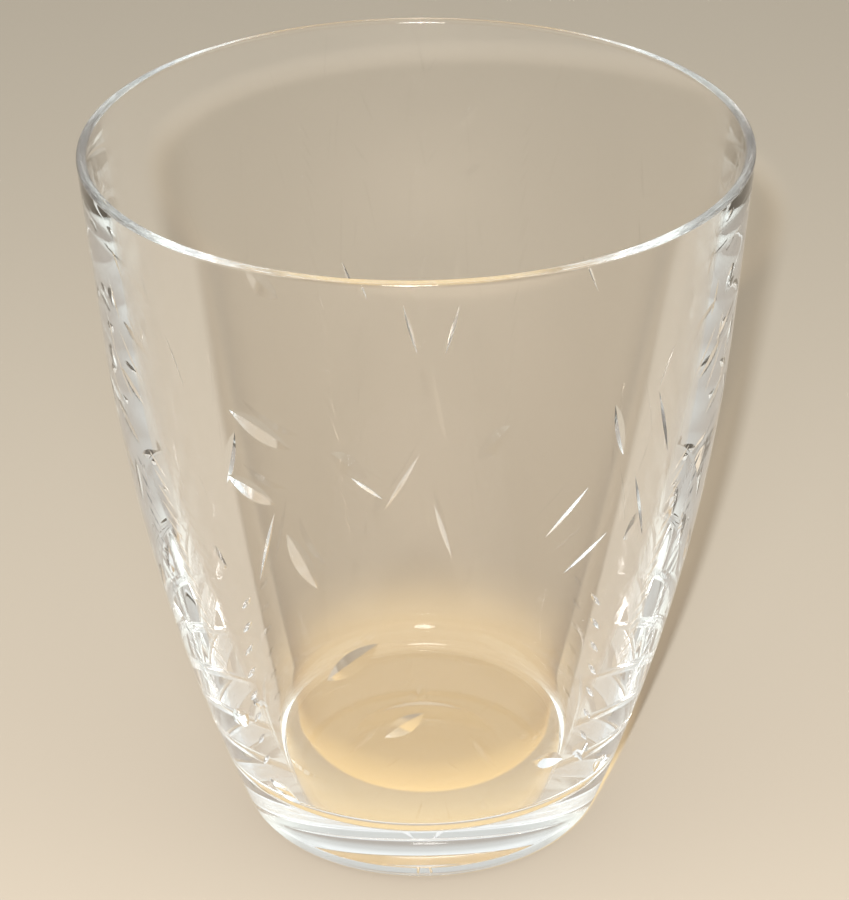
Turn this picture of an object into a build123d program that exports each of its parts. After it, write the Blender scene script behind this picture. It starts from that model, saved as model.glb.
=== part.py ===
"""Wheel-cut drinking beaker: one piece of clear blown glass.

The glass is a thin-walled, gently curved tumbler on a thick, round-heeled base.
After blowing, V-edged wheels cut scattered leaf strokes and ladders of small notches
into the outside. Everything is in millimetres, the foot centre is the origin, and +Z
points up through the mouth.
"""
from build123d import *
import os
from math import atan2, cos, radians, sin, sqrt, tan

# ---- driving dimensions: the blown shape ------------------------------------
height = 95.0             # foot plane to the top of the lip
rim_diameter = 84.0       # outside of the mouth
foot_diameter = 46.6      # where the curved side would meet the foot plane
lip_flare = 5.0           # degrees that the straight band under the lip opens outwards
straight_band = 22.0      # height of that band; one arc runs from it down to the foot
heel_radius = 3.0         # rounding between the side and the foot
rim_wall = 1.3            # glass thickness at the lip, which is rolled fully round
foot_wall = 6.0           # side thickness level with the inside floor
base_thickness = 8.2      # foot plane to the inside floor
floor_corner_radius = 4.0 # rounding between the inside wall and the floor
punty_diameter = 24.0     # polished hollow under the foot, where the rod was broken off
punty_depth = 0.8

# ---- driving dimensions: the wheel cutting -----------------------------------
broad_edge_angle = 150.0  # included angle of the V on the broad wheel's edge
broad_depth = 0.38        # deepest point of a broad leaf stroke
fine_edge_angle = 100.0   # the same for the fine wheel
fine_depth = 0.25

# Strokes scattered by hand around the glass, seen from outside: degrees from the
# front, height, lean from upright in degrees (top to the right is positive), length.
broad_strokes = [
    (-28, 73, -66, 13), (-31, 64, -70, 9), (-22, 55, -23, 9), (-14, 40, 44, 15),
    (-4, 30, 48, 8), (-48, 24, 50, 6), (-40, 13, -60, 6), (32, 20, -70, 6),
    (56, 13, -60, 6), (98, 34, -35, 9), (120, 42, 45, 9), (160, 33, -40, 9),
    (-143, 58, 42, 9), (-160, 30, 50, 9), (-122, 38, -45, 9), (-98, 30, 40, 9),
]
fine_strokes = [
    (-29, 56, 17, 15), (-9, 67, -53, 5), (-3, 68, 28, 11), (4, 61, -15, 9),
    (27, 61, 43, 11), (32, 54, 54, 10), (44, 58, -17, 13), (48, 69, -18, 12),
    (104, 56, -20, 10), (140, 61, 39, 12), (172, 48, -16, 8), (-178, 48, 16, 8),
    (-166, 57, 18, 11), (-108, 56, 15, 10), (-78, 66, -30, 10), (78, 66, 30, 10),
]

# Ladders of short fine notches, each repeated left and right: degrees from the front,
# height of the lowest notch, height and turn from one notch to the next, lean, length,
# number of notches.
notch_ladders = [
    (60, 27, 2.4, 0.2, 50, 5.0, 14),
    (43, 18, 4.0, -1.0, -35, 3.5, 8),
]


lip_height = height - rim_wall / 2
band_height = lip_height - straight_band
band_radius = rim_diameter / 2 - straight_band * tan(radians(lip_flare))


def side_arc():
    """Centre and radius of the arc from the foot's edge to the band, tangent to the band."""
    inward = (-cos(radians(lip_flare)), sin(radians(lip_flare)))
    run, drop = foot_diameter / 2 - band_radius, -band_height
    radius = (run ** 2 + drop ** 2) / (2 * (run * inward[0] + drop * inward[1]))
    return (band_radius + radius * inward[0], band_height + radius * inward[1]), radius


side_centre, side_radius = side_arc()


def side_at(z):
    """Outside radius of the glass at height z."""
    if z > band_height:
        return band_radius + (z - band_height) * tan(radians(lip_flare))
    return side_centre[0] + sqrt(side_radius ** 2 - (z - side_centre[1]) ** 2)


def tilt_at(z):
    """Angle of the outward surface direction above level at height z, in radians."""
    if z > band_height:
        return -radians(lip_flare)
    return atan2(z - side_centre[1], side_at(z) - side_centre[0])


def wall_at(z):
    """Side thickness at height z: it thins evenly from the inside floor to the lip."""
    share = (z - base_thickness) / (lip_height - base_thickness)
    return foot_wall + (rim_wall - foot_wall) * share


def inside_at(z):
    """Inside radius of the glass at height z."""
    return side_at(z) - wall_at(z)


def blown_glass():
    """The turned shape: side, lip, inside, floor, heel and punty hollow."""
    middle_z = (band_height + base_thickness) / 2
    punty_radius = punty_diameter / 2
    outside_lip, outside_band = (side_at(lip_height), lip_height), (band_radius, band_height)
    outside_foot = (foot_diameter / 2, 0)
    inside_lip, inside_band, inside_foot = [
        (inside_at(z), z) for z in (lip_height, band_height, base_thickness)]
    with BuildPart() as turned:
        with BuildSketch(Plane.XZ) as section:
            with BuildLine():
                ThreePointArc(outside_foot, (side_at(middle_z), middle_z), outside_band)
                Line(outside_band, outside_lip)
                ThreePointArc(outside_lip, ((outside_lip[0] + inside_lip[0]) / 2, height),
                              inside_lip)
                Line(inside_lip, inside_band)
                ThreePointArc(inside_band, (inside_at(middle_z), middle_z), inside_foot)
                Line(inside_foot, (0, base_thickness))
                Line((0, base_thickness), (0, punty_depth))
                RadiusArc((0, punty_depth), (punty_radius, 0),
                          (punty_radius ** 2 + punty_depth ** 2) / (2 * punty_depth))
                Line((punty_radius, 0), outside_foot)
            make_face()
            # the sketch's own vertices carry the height as their second coordinate
            for (r, z), radius in ((inside_foot, floor_corner_radius),
                                   (outside_foot, heel_radius)):
                fillet(section.vertices().sort_by_distance((r, z, 0))[0], radius)
        revolve(axis=Axis.Z)
    return turned.part


def wheel_in_place(around, rise, lean, length, depth, edge_angle):
    """The cutting wheel where it leaves a stroke of this length and depth.

    around is in degrees from the front (-Y), to the right; rise is the height of
    the stroke's middle; lean is in degrees from upright, top to the right.
    """
    wheel_radius = (length ** 2 / 4 + depth ** 2) / (2 * depth)
    bite = min(4 * depth, wheel_radius / 2)
    flank = Cone(bottom_radius=wheel_radius, top_radius=wheel_radius - bite,
                 height=bite * tan(radians(edge_angle / 2)),
                 align=(Align.CENTER, Align.CENTER, Align.MIN))
    wheel = flank + mirror(flank, about=Plane.XY)
    out = Vector(sin(radians(around)), -cos(radians(around)), 0)
    right = Vector(cos(radians(around)), sin(radians(around)), 0)
    tilt = tilt_at(rise)
    normal = out * cos(tilt) + Vector(0, 0, sin(tilt))
    up = Vector(0, 0, cos(tilt)) - out * sin(tilt)
    along = up * cos(radians(lean)) + right * sin(radians(lean))
    touch = out * side_at(rise) + Vector(0, 0, rise)
    seat = Plane(origin=touch + normal * (wheel_radius - depth), x_dir=along,
                 z_dir=normal.cross(along))
    return seat * wheel


def cutting_wheels():
    """A wheel for every stroke and notch."""
    for around, rise, lean, length in broad_strokes:
        yield wheel_in_place(around, rise, lean, length, broad_depth, broad_edge_angle)
    for around, rise, lean, length in fine_strokes:
        yield wheel_in_place(around, rise, lean, length, fine_depth, fine_edge_angle)
    for first, start, pitch, turn, lean, length, count in notch_ladders:
        for notch in range(count):
            around, rise = first + notch * turn, start + notch * pitch
            for side in (-1, 1):
                yield wheel_in_place(side * around, rise, side * lean, length, fine_depth,
                                     fine_edge_angle)


def glass_beaker():
    """The finished glass: the blown shape less every wheel stroke."""
    glass = blown_glass()
    for wheel in cutting_wheels():
        glass = glass - wheel
    glass.label = "glass_beaker"
    return glass


os.makedirs("parts", exist_ok=True)
export_step(glass_beaker(), "parts/glass_beaker.step")
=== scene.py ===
"""Looks of the wheel-cut glass beaker: high-resolution glass, pale floor, soft light, camera."""

from math import acos, atan2, cos, pi, radians, sin, sqrt, tan

import bmesh
import bpy
import numpy as np
from mathutils import Matrix, Vector
from mathutils.kdtree import KDTree


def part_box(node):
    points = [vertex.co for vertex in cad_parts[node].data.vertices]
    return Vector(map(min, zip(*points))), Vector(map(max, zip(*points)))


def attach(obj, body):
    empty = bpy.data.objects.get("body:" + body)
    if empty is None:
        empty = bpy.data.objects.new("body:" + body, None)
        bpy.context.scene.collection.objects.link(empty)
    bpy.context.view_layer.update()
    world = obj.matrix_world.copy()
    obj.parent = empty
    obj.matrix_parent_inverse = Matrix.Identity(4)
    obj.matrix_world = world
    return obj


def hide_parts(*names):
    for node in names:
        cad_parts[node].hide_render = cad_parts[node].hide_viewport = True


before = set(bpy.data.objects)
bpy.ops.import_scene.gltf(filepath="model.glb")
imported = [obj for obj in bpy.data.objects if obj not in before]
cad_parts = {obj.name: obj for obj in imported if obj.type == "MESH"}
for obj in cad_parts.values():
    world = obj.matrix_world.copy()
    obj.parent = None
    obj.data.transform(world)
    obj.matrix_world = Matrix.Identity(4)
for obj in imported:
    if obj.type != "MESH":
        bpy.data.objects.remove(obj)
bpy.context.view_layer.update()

MM = 0.001

# ---- the glass, in metres, from the CAD node's own box ------------------------
foot_point, top_point = [Vector(corner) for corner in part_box("glass_beaker")]
HEIGHT = top_point.z
RIM_RADIUS = (top_point.x - foot_point.x) / 2
FOOT_RADIUS = 0.5548 * RIM_RADIUS     # where the curved side would meet the foot plane
LIP_FLARE = radians(5.0)              # the straight band under the lip opens outwards
STRAIGHT_BAND = 22.0 * MM
HEEL_RADIUS = 3.0 * MM
RIM_WALL = 1.3 * MM
FOOT_WALL = 6.0 * MM
BASE_THICKNESS = 8.2 * MM
FLOOR_CORNER = 4.0 * MM
PUNTY_RADIUS = 12.0 * MM
PUNTY_DEPTH = 0.8 * MM

# ---- facets -------------------------------------------------------------------
AROUND = 384                          # around the glass
SIDE_STEPS = 72                       # up the outside, and again down the inside
CORNER_STEPS = 16                     # round the heel, and round the floor corner
LIP_STEPS = 20                        # over the lip
LEVEL_STEPS = 12                      # across the punty hollow, and across the floor
WHEEL_STEPS = 28                      # along the part of a wheel that bites

# ---- the wheel cutting --------------------------------------------------------
BROAD_EDGE, BROAD_DEPTH = radians(150.0), 0.38 * MM
FINE_EDGE, FINE_DEPTH = radians(100.0), 0.25 * MM
# degrees from the front, height in mm, lean in degrees, length in mm
BROAD_STROKES = [
    (-28, 73, -66, 13), (-31, 64, -70, 9), (-22, 55, -23, 9), (-14, 40, 44, 15),
    (-4, 30, 48, 8), (-48, 24, 50, 6), (-40, 13, -60, 6), (32, 20, -70, 6),
    (56, 13, -60, 6), (98, 34, -35, 9), (120, 42, 45, 9), (160, 33, -40, 9),
    (-143, 58, 42, 9), (-160, 30, 50, 9), (-122, 38, -45, 9), (-98, 30, 40, 9),
]
FINE_STROKES = [
    (-29, 56, 17, 15), (-9, 67, -53, 5), (-3, 68, 28, 11), (4, 61, -15, 9),
    (27, 61, 43, 11), (32, 54, 54, 10), (44, 58, -17, 13), (48, 69, -18, 12),
    (104, 56, -20, 10), (140, 61, 39, 12), (172, 48, -16, 8), (-178, 48, 16, 8),
    (-166, 57, 18, 11), (-108, 56, 15, 10), (-78, 66, -30, 10), (78, 66, 30, 10),
]
# Ladders, each repeated left and right: degrees from the front, height of the lowest
# notch, height and turn to the next one, lean, length, number of notches
NOTCH_LADDERS = [
    (60, 27, 2.4, 0.2, 50, 5.0, 14),
    (43, 18, 4.0, -1.0, -35, 3.5, 8),
]

lip_height = HEIGHT - RIM_WALL / 2
band_height = lip_height - STRAIGHT_BAND
band_radius = RIM_RADIUS - STRAIGHT_BAND * tan(LIP_FLARE)
inward = (-cos(LIP_FLARE), sin(LIP_FLARE))
run, drop = FOOT_RADIUS - band_radius, -band_height
side_radius = (run ** 2 + drop ** 2) / (2 * (run * inward[0] + drop * inward[1]))
side_centre = (band_radius + side_radius * inward[0], band_height + side_radius * inward[1])


def side_at(z):
    """Outside radius at height z."""
    if z > band_height:
        return band_radius + (z - band_height) * tan(LIP_FLARE)
    return side_centre[0] + sqrt(side_radius ** 2 - (z - side_centre[1]) ** 2)


def tilt_at(z):
    """Angle of the outward direction above level at height z."""
    if z > band_height:
        return -LIP_FLARE
    return atan2(z - side_centre[1], side_at(z) - side_centre[0])


def inside_at(z):
    """Inside radius at height z."""
    share = (z - BASE_THICKNESS) / (lip_height - BASE_THICKNESS)
    return side_at(z) - FOOT_WALL - (RIM_WALL - FOOT_WALL) * share


def arc(centre, radius, start, end, steps):
    """Points and outward directions along an arc of the section."""
    angles = [start + (end - start) * i / steps for i in range(steps + 1)]
    return [(centre[0] + radius * cos(a), centre[1] + radius * sin(a), cos(a), sin(a))
            for a in angles]


def section():
    """The glass's section from the foot's middle round to the floor's middle.

    Each row is radius, height and the direction out of the glass.
    """
    rows = []
    punty_curve = (PUNTY_RADIUS ** 2 + PUNTY_DEPTH ** 2) / (2 * PUNTY_DEPTH)
    punty_angle = atan2(PUNTY_RADIUS, punty_curve - PUNTY_DEPTH)
    for i in range(LEVEL_STEPS + 1):
        a = punty_angle * i / LEVEL_STEPS
        rows.append((punty_curve * sin(a), PUNTY_DEPTH - punty_curve * (1 - cos(a)),
                     -sin(a), -cos(a)))
    # heel: tangent to the foot plane and to the side arc
    heel_z = HEEL_RADIUS
    heel_r = side_centre[0] + sqrt((side_radius - HEEL_RADIUS) ** 2
                                   - (heel_z - side_centre[1]) ** 2)
    heel_end = atan2(heel_z - side_centre[1], heel_r - side_centre[0])
    rows.append((PUNTY_RADIUS, 0.0, 0.0, -1.0))
    rows += arc((heel_r, heel_z), HEEL_RADIUS, -pi / 2, heel_end, CORNER_STEPS)
    side_start = heel_z + HEEL_RADIUS * sin(heel_end)
    for i in range(1, SIDE_STEPS + 1):
        z = side_start + (lip_height - side_start) * i / SIDE_STEPS
        tilt = tilt_at(z)
        rows.append((side_at(z), z, cos(tilt), sin(tilt)))
    lip_radius = RIM_WALL / 2
    lip_middle = (side_at(lip_height) + inside_at(lip_height)) / 2
    rows += arc((lip_middle, lip_height), lip_radius, 0.0, pi, LIP_STEPS)[1:-1]
    step = 0.05 * MM

    def inside_slope(z):
        return (inside_at(z + step) - inside_at(z - step)) / (2 * step)

    # the corner is tangent to the sloping wall and to the floor; its top settles in a few rounds
    corner_top = BASE_THICKNESS + FLOOR_CORNER
    for _ in range(20):
        slope = inside_slope(corner_top)
        corner_top = BASE_THICKNESS + FLOOR_CORNER * (1 - slope / sqrt(1 + slope ** 2))
    for i in range(SIDE_STEPS + 1):
        z = lip_height + (corner_top - lip_height) * i / SIDE_STEPS
        slope = inside_slope(z)
        size = sqrt(1 + slope ** 2)
        rows.append((inside_at(z), z, -1 / size, slope / size))
    last = rows[-1]
    corner_start = atan2(-last[3], -last[2])
    corner_centre = (last[0] - FLOOR_CORNER * cos(corner_start),
                     last[1] - FLOOR_CORNER * sin(corner_start))
    floor_z = corner_centre[1] - FLOOR_CORNER
    corner = arc(corner_centre, FLOOR_CORNER, corner_start, -pi / 2, CORNER_STEPS)
    for r, z, out_r, out_z in corner[1:]:
        rows.append((r, z, -out_r, -out_z))
    for i in range(1, LEVEL_STEPS + 1):
        rows.append((corner_centre[0] * (1 - i / LEVEL_STEPS), floor_z, 0.0, 1.0))
    return rows


def turned_glass(rows):
    """A closed mesh of revolution from the section."""
    verts, faces, rings = [], [], []
    for r, z, _, _ in rows:
        if r < 1e-9:
            rings.append([len(verts)] * AROUND)
            verts.append((0.0, 0.0, z))
        else:
            rings.append(list(range(len(verts), len(verts) + AROUND)))
            verts += [(r * cos(2 * pi * k / AROUND), r * sin(2 * pi * k / AROUND), z)
                      for k in range(AROUND)]
    for low, high in zip(rings, rings[1:]):
        for k in range(AROUND):
            nxt = (k + 1) % AROUND
            ring = [low[k], low[nxt], high[nxt], high[k]]
            faces.append(list(dict.fromkeys(ring)))
    mesh = bpy.data.meshes.new("glass_beaker_body")
    mesh.from_pydata(verts, [], faces)
    mesh.validate()
    return mesh


def wheel_piece(around, rise, lean, length, depth, edge):
    """The part of a V-edged wheel that bites the glass, as closed points and faces."""
    wheel_radius = (length ** 2 / 4 + depth ** 2) / (2 * depth)
    bite = min(4 * depth, wheel_radius / 2)
    half_width = bite * tan(edge / 2)
    # far enough round to leave the glass at both ends of the stroke
    reach = acos(1 - 2.2 * depth / wheel_radius)
    out = Vector((sin(radians(around)), -cos(radians(around)), 0))
    right = Vector((cos(radians(around)), sin(radians(around)), 0))
    tilt = tilt_at(rise)
    normal = out * cos(tilt) + Vector((0, 0, sin(tilt)))
    up = Vector((0, 0, cos(tilt))) - out * sin(tilt)
    along = up * cos(radians(lean)) + right * sin(radians(lean))
    axis = normal.cross(along)
    centre = out * side_at(rise) + Vector((0, 0, rise)) + normal * (wheel_radius - depth)
    verts, faces = [], []
    for i in range(WHEEL_STEPS + 1):
        a = -reach + 2 * reach * i / WHEEL_STEPS
        spoke = along * sin(a) - normal * cos(a)
        verts.append(centre + spoke * wheel_radius)
        verts.append(centre + spoke * (wheel_radius - bite) + axis * half_width)
        verts.append(centre + spoke * (wheel_radius - bite) - axis * half_width)
    for i in range(WHEEL_STEPS):
        for j in range(3):
            k = (j + 1) % 3
            faces.append([3 * i + j, 3 * i + k, 3 * i + 3 + k, 3 * i + 3 + j])
    faces.append([2, 1, 0])
    faces.append([3 * WHEEL_STEPS, 3 * WHEEL_STEPS + 1, 3 * WHEEL_STEPS + 2])
    return verts, faces


def apart(one, other):
    """True if two strokes' wheels can't touch. A stroke is angle, height, lean, length..."""
    turn = abs((one[0] - other[0] + 180) % 360 - 180)
    return (turn > 50 or radians(turn) * side_at(one[1]) > one[3] + other[3]
            or abs(one[1] - other[1]) > one[3] + other[3])


def wheel_rounds():
    """The strokes and notches in rounds. Wheels of one round are far from each other."""
    strokes = [(a, z * MM, lean, length * MM, BROAD_DEPTH, BROAD_EDGE)
               for a, z, lean, length in BROAD_STROKES]
    strokes += [(a, z * MM, lean, length * MM, FINE_DEPTH, FINE_EDGE)
                for a, z, lean, length in FINE_STROKES]
    for first, start, pitch, turn, lean, length, count in NOTCH_LADDERS:
        for notch in range(count):
            around, rise = first + notch * turn, (start + notch * pitch) * MM
            for side in (-1, 1):
                strokes.append((side * around, rise, side * lean, length * MM, FINE_DEPTH,
                                FINE_EDGE))
    rounds = []
    for stroke in strokes:
        for others in rounds:
            if all(apart(stroke, other) for other in others):
                others.append(stroke)
                break
        else:
            rounds.append([stroke])
    return rounds


def wheel_mesh(strokes):
    """One closed mesh of several wheels that don't touch."""
    verts, faces = [], []
    for stroke in strokes:
        new_verts, new_faces = wheel_piece(*stroke)
        faces += [[len(verts) + v for v in face] for face in new_faces]
        verts += new_verts
    mesh = bpy.data.meshes.new("wheels")
    mesh.from_pydata(verts, [], faces)
    return mesh


def outward(mesh):
    """Turns every face of a closed mesh outwards."""
    bm = bmesh.new()
    bm.from_mesh(mesh)
    bmesh.ops.recalc_face_normals(bm, faces=bm.faces)
    bm.to_mesh(mesh)
    bm.free()


def link(name, data):
    obj = bpy.data.objects.new(name, data)
    bpy.context.scene.collection.objects.link(obj)
    return obj


def cut_glass(rows):
    """The turned glass with every wheel stroke taken out."""
    body = turned_glass(rows)
    outward(body)
    glass = link("beaker_glass", body)
    cutters = []
    for strokes in wheel_rounds():
        mesh = wheel_mesh(strokes)
        outward(mesh)
        cutters.append(link("wheels", mesh))
        bite = glass.modifiers.new("bite", "BOOLEAN")
        bite.operation = "DIFFERENCE"
        bite.solver = "MANIFOLD"
        bite.object = cutters[-1]
    bpy.context.view_layer.update()
    drawn = glass.evaluated_get(bpy.context.evaluated_depsgraph_get())
    finished = bpy.data.meshes.new_from_object(drawn)
    finished.name = "beaker_glass"
    glass.modifiers.clear()
    glass.data = finished
    for cutter in cutters:
        bpy.data.objects.remove(cutter)
    return glass


def true_directions(rows, points):
    """The outward direction of the turned shape nearest each point."""
    table = np.array(rows)
    share = np.linspace(0, 1, 9)[:-1, None, None]
    dense = (table[None, :-1] * (1 - share) + table[None, 1:] * share).reshape(-1, 4)
    dense = np.vstack([dense, table[-1:]])
    near = KDTree(len(dense))
    for i, row in enumerate(dense):
        near.insert((row[0], row[1], 0.0), i)
    near.balance()
    radius = np.hypot(points[:, 0], points[:, 1])
    index = [near.find((r, z, 0.0))[1] for r, z in zip(radius, points[:, 2])]
    outs = dense[index][:, 2:]
    safe = np.maximum(radius, 1e-9)
    dirs = np.stack([outs[:, 0] * points[:, 0] / safe, outs[:, 0] * points[:, 1] / safe,
                     outs[:, 1]], axis=-1)
    return dirs / np.linalg.norm(dirs, axis=1, keepdims=True)


# how far a face on the side turns away from the blown shape before it counts as cut, and
# as cut by the fine, steeper wheel
CUT_TURN, FINE_TURN = radians(4), radians(25)
SAME_FLANK = 0.97                     # cosine between neighbours that shade as one flank


def polish(glass, rows):
    """Exact shading directions: the turned shape's own, and smooth flanks inside each cut.

    Each face also gets its material: 0 blown, 1 broad cut, 2 fine cut.
    """
    mesh = glass.data
    count = len(mesh.vertices)
    points = np.empty(count * 3)
    mesh.vertices.foreach_get("co", points)
    dirs = true_directions(rows, points.reshape(-1, 3))
    corners = np.empty(len(mesh.loops), dtype=int)
    mesh.loops.foreach_get("vertex_index", corners)
    face_normals = np.empty(len(mesh.polygons) * 3)
    mesh.polygons.foreach_get("normal", face_normals)
    face_normals = face_normals.reshape(-1, 3)
    totals = np.empty(len(mesh.polygons), dtype=int)
    mesh.polygons.foreach_get("loop_total", totals)
    face_of = np.repeat(np.arange(len(mesh.polygons)), totals)
    agree = (dirs[corners] * face_normals[face_of]).sum(axis=1)
    worst = np.minimum.reduceat(agree, np.concatenate([[0], np.cumsum(totals)[:-1]]))
    centres = np.empty(len(mesh.polygons) * 3)
    mesh.polygons.foreach_get("center", centres)
    rise = centres[2::3]
    on_side = ((rise > HEEL_RADIUS + 0.5 * MM) & (rise < HEIGHT - 1.5 * MM)
               & (face_normals[:, 0] * centres[0::3] + face_normals[:, 1] * centres[1::3] > 0))
    cut = on_side & (worst < cos(CUT_TURN))
    fine = on_side & (worst < cos(FINE_TURN))
    loop_dirs = dirs[corners]
    at_vertex = {}
    cut_loops = np.flatnonzero(cut[face_of])
    for loop in cut_loops:
        at_vertex.setdefault(corners[loop], []).append(face_of[loop])
    for loop in cut_loops:
        own = face_normals[face_of[loop]]
        near = face_normals[at_vertex[corners[loop]]]
        blend = near[near @ own > SAME_FLANK].sum(axis=0)
        size = np.linalg.norm(blend)
        if size > 0.5:
            loop_dirs[loop] = blend / size
    for polygon, kind in zip(mesh.polygons, cut.astype(int) + fine):
        polygon.use_smooth = True
        polygon.material_index = int(kind)
    mesh.normals_split_custom_set(loop_dirs.tolist())


def shader_of(name):
    """A new material, its node tree and its Principled shader."""
    material = bpy.data.materials.new(name)
    material.use_nodes = True
    tree = material.node_tree
    return material, tree, tree.nodes["Principled BSDF"]


def ramp(tree, source, stops):
    """A colour ramp over a 0 to 1 value."""
    node = tree.nodes.new("ShaderNodeValToRGB")
    node.color_ramp.interpolation = "EASE"
    marks = node.color_ramp.elements
    marks[0].position, marks[0].color = stops[0][0], (*stops[0][1], 1.0)
    marks[1].position, marks[1].color = stops[-1][0], (*stops[-1][1], 1.0)
    for place, colour in stops[1:-1]:
        marks.new(place).color = (*colour, 1.0)
    tree.links.new(source, node.inputs["Fac"])
    return node.outputs["Color"]


def mixed(tree, share, one, other):
    """One colour going over to another as share goes from 0 to 1."""
    node = tree.nodes.new("ShaderNodeMix")
    node.data_type = "RGBA"
    node.clamp_result = False
    tree.links.new(share, node.inputs["Factor"])
    inputs = [socket for socket in node.inputs if socket.type == "RGBA"]
    for colour, socket in zip((one, other), inputs):
        if isinstance(colour, tuple):
            socket.default_value = (*colour, 1.0)
        else:
            tree.links.new(colour, socket)
    return [socket for socket in node.outputs if socket.type == "RGBA"][0]


def height_mask(tree, low, high):
    """0 below one height in metres and 1 above another."""
    place = tree.nodes.new("ShaderNodeTexCoord")
    split = tree.nodes.new("ShaderNodeSeparateXYZ")
    tree.links.new(place.outputs["Object"], split.inputs[0])
    rise = tree.nodes.new("ShaderNodeMapRange")
    rise.inputs["From Min"].default_value = low
    rise.inputs["From Max"].default_value = high
    tree.links.new(split.outputs["Z"], rise.inputs["Value"])
    return rise.outputs["Result"]


def lamp_tint(tree):
    """What one surface of the glass leaves of a lamp's light: less where it's grazed,
    more in the rolled lip and the thick base, which gather it."""
    grazing = tree.nodes.new("ShaderNodeLayerWeight")
    grazing.inputs["Blend"].default_value = 0.5
    wall = ramp(tree, grazing.outputs["Facing"],
                [(0.0, (0.85, 0.815, 0.765)), (0.5, (0.84, 0.80, 0.74)),
                 (0.78, (0.64, 0.55, 0.42)), (1.0, (0.38, 0.28, 0.16))])
    body = mixed(tree, height_mask(tree, 0.010, 0.016), (1.34, 1.27, 1.05), wall)
    return mixed(tree, height_mask(tree, HEIGHT - 0.0011, HEIGHT - 0.0008), body,
                 (1.5, 1.5, 1.5))


def glass_material(name, roughness, clearness):
    """Clear or satin glass that lets lamps light what is behind it."""
    material, tree, shader = shader_of(name)
    shader.inputs["Base Color"].default_value = (1.0, 1.0, 1.0, 1.0)
    shader.inputs["Transmission Weight"].default_value = clearness
    shader.inputs["Roughness"].default_value = roughness
    shader.inputs["IOR"].default_value = 1.51
    path = tree.nodes.new("ShaderNodeLightPath")
    through = tree.nodes.new("ShaderNodeBsdfTransparent")
    tree.links.new(lamp_tint(tree), through.inputs["Color"])
    choose = tree.nodes.new("ShaderNodeMixShader")
    tree.links.new(path.outputs["Is Shadow Ray"], choose.inputs["Fac"])
    tree.links.new(shader.outputs[0], choose.inputs[1])
    tree.links.new(through.outputs[0], choose.inputs[2])
    tree.links.new(choose.outputs[0], tree.nodes["Material Output"].inputs["Surface"])
    return material


def floor_material():
    """Pale, matt and plain."""
    material, _, shader = shader_of("pale_floor")
    shader.inputs["Base Color"].default_value = (0.325, 0.283, 0.231, 1.0)
    shader.inputs["Roughness"].default_value = 0.9
    shader.inputs["Specular IOR Level"].default_value = 0.2
    return material


def stage():
    """A round floor that sweeps up a little at its edge, the same from every side."""
    flat, sweep, lift = 1.6, 0.6, radians(12.0)
    below = 0.05 * MM                 # keeps the floor off the foot's own plane
    bowl = [(0.0, 0.0), (flat, 0.0)]
    bowl += [(flat + sweep * sin(a), sweep * (1 - cos(a)))
             for a in np.linspace(0, lift, 7)[1:]]
    around = 96
    verts, faces = [], []
    for r, z in bowl:
        verts += [(r * cos(2 * pi * k / around), r * sin(2 * pi * k / around), z - below)
                  for k in range(around)]
    for level in range(len(bowl) - 1):
        for k in range(around):
            nxt = (k + 1) % around
            faces.append([level * around + k, level * around + nxt,
                          (level + 1) * around + nxt, (level + 1) * around + k])
    mesh = bpy.data.meshes.new("studio_floor")
    mesh.from_pydata(verts, [], faces)
    mesh.validate()
    floor = link("studio_floor", mesh)
    for polygon in mesh.polygons:
        polygon.use_smooth = True
    mesh.materials.append(floor_material())


def light(name, place, size, watts, colour):
    """A round lamp over the front, aimed at the floor behind the glass."""
    aim = (0, 0.3, 0)
    data = bpy.data.lights.new(name, "AREA")
    data.shape = "DISK"
    data.size = size
    data.energy = watts
    data.color = colour
    lamp = link(name, data)
    lamp.location = place
    lamp.rotation_euler = (Vector(aim) - Vector(place)).to_track_quat("-Z", "Y").to_euler()


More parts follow.
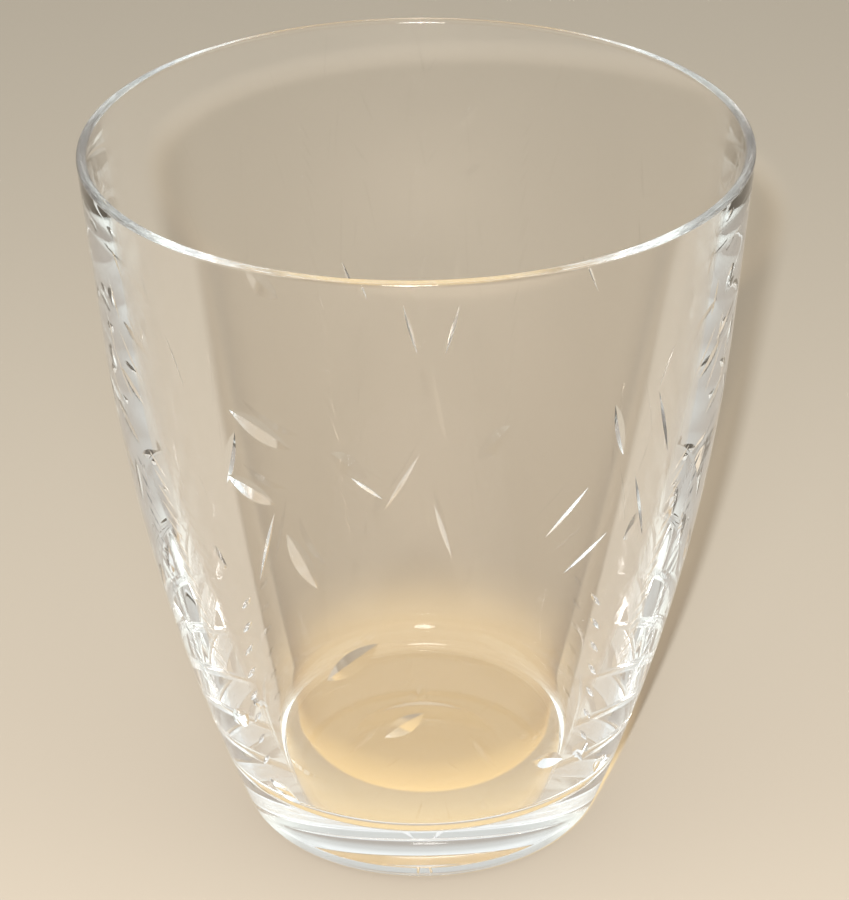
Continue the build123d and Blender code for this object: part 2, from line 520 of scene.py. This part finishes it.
def studio_sky():
    """Soft light from above, brighter high on the left and right than over the middle."""
    world = bpy.data.worlds.new("studio")
    bpy.context.scene.world = world
    world.use_nodes = True
    tree = world.node_tree
    direction = tree.nodes.new("ShaderNodeTexCoord")
    parts = tree.nodes.new("ShaderNodeSeparateXYZ")
    tree.links.new(direction.outputs["Generated"], parts.inputs[0])
    middle = ramp(tree, parts.outputs["Z"],
                  [(0.0, (0.42, 0.38, 0.34)), (0.40, (0.46, 0.43, 0.39)),
                   (0.58, (0.64, 0.66, 0.64)), (0.74, (0.95, 1.00, 1.00)),
                   (1.0, (0.95, 0.97, 0.96))])
    sides = ramp(tree, parts.outputs["Z"],
                 [(0.0, (0.42, 0.38, 0.34)), (0.38, (0.46, 0.43, 0.39)),
                  (0.52, (1.35, 1.46, 1.40)), (0.80, (2.15, 2.30, 2.20)),
                  (1.0, (1.20, 1.26, 1.26))])
    sideways = tree.nodes.new("ShaderNodeMath")
    sideways.operation = "ABSOLUTE"
    tree.links.new(parts.outputs["X"], sideways.inputs[0])
    share = tree.nodes.new("ShaderNodeMapRange")
    share.inputs["From Min"].default_value = 0.52
    share.inputs["From Max"].default_value = 0.74
    tree.links.new(sideways.outputs[0], share.inputs["Value"])
    shade = mixed(tree, share.outputs["Result"], middle, sides)
    tree.links.new(shade, tree.nodes["Background"].inputs["Color"])


def camera():
    """The camera at the photograph's viewing angle, a long lens about 0.5 m away."""
    place = Vector((0.00064, -0.40053, 0.26404))
    pitch, roll = radians(27.969), radians(-0.617)
    ahead = Vector((0.0, cos(pitch), -sin(pitch)))
    level = Vector((1.0, 0.0, 0.0))
    above = level.cross(ahead)
    right = level * cos(roll) + above * sin(roll)
    up = above * cos(roll) - level * sin(roll)
    data = bpy.data.cameras.new("camera")
    data.sensor_fit = "VERTICAL"
    data.sensor_height = 36.0
    data.lens = 140.0
    data.clip_start = 0.01
    eye = link("camera", data)
    turn = Matrix((right, up, -ahead)).transposed().to_4x4()
    eye.matrix_world = Matrix.Translation(place) @ turn
    bpy.context.scene.camera = eye


section_rows = section()
beaker = cut_glass(section_rows)
beaker.data.materials.clear()         # before polish, which gives each face its material
beaker.data.materials.append(glass_material("clear_glass", 0.0, 1.0))
beaker.data.materials.append(glass_material("broad_cuts", 0.05, 1.0))
beaker.data.materials.append(glass_material("fine_cuts", 0.14, 0.95))
polish(beaker, section_rows)
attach(beaker, "root")
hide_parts("glass_beaker")

stage()
light("key", (-0.019, -0.468, 0.323), 0.012, 7.4, (1.0, 0.96, 0.91))
light("key_softener", (-0.0195, -0.475, 0.328), 0.15, 1.5, (1.0, 0.97, 0.93))
studio_sky()
scene = bpy.context.scene
scene.view_settings.view_transform = "Standard"
bounces = 40                          # fewer leave the thick edges and the lip black
scene.cycles.max_bounces = bounces
scene.cycles.glossy_bounces = bounces
scene.cycles.transmission_bounces = bounces
scene.cycles.transparent_max_bounces = bounces
scene.cycles.caustics_refractive = False
scene.cycles.caustics_reflective = False

camera()
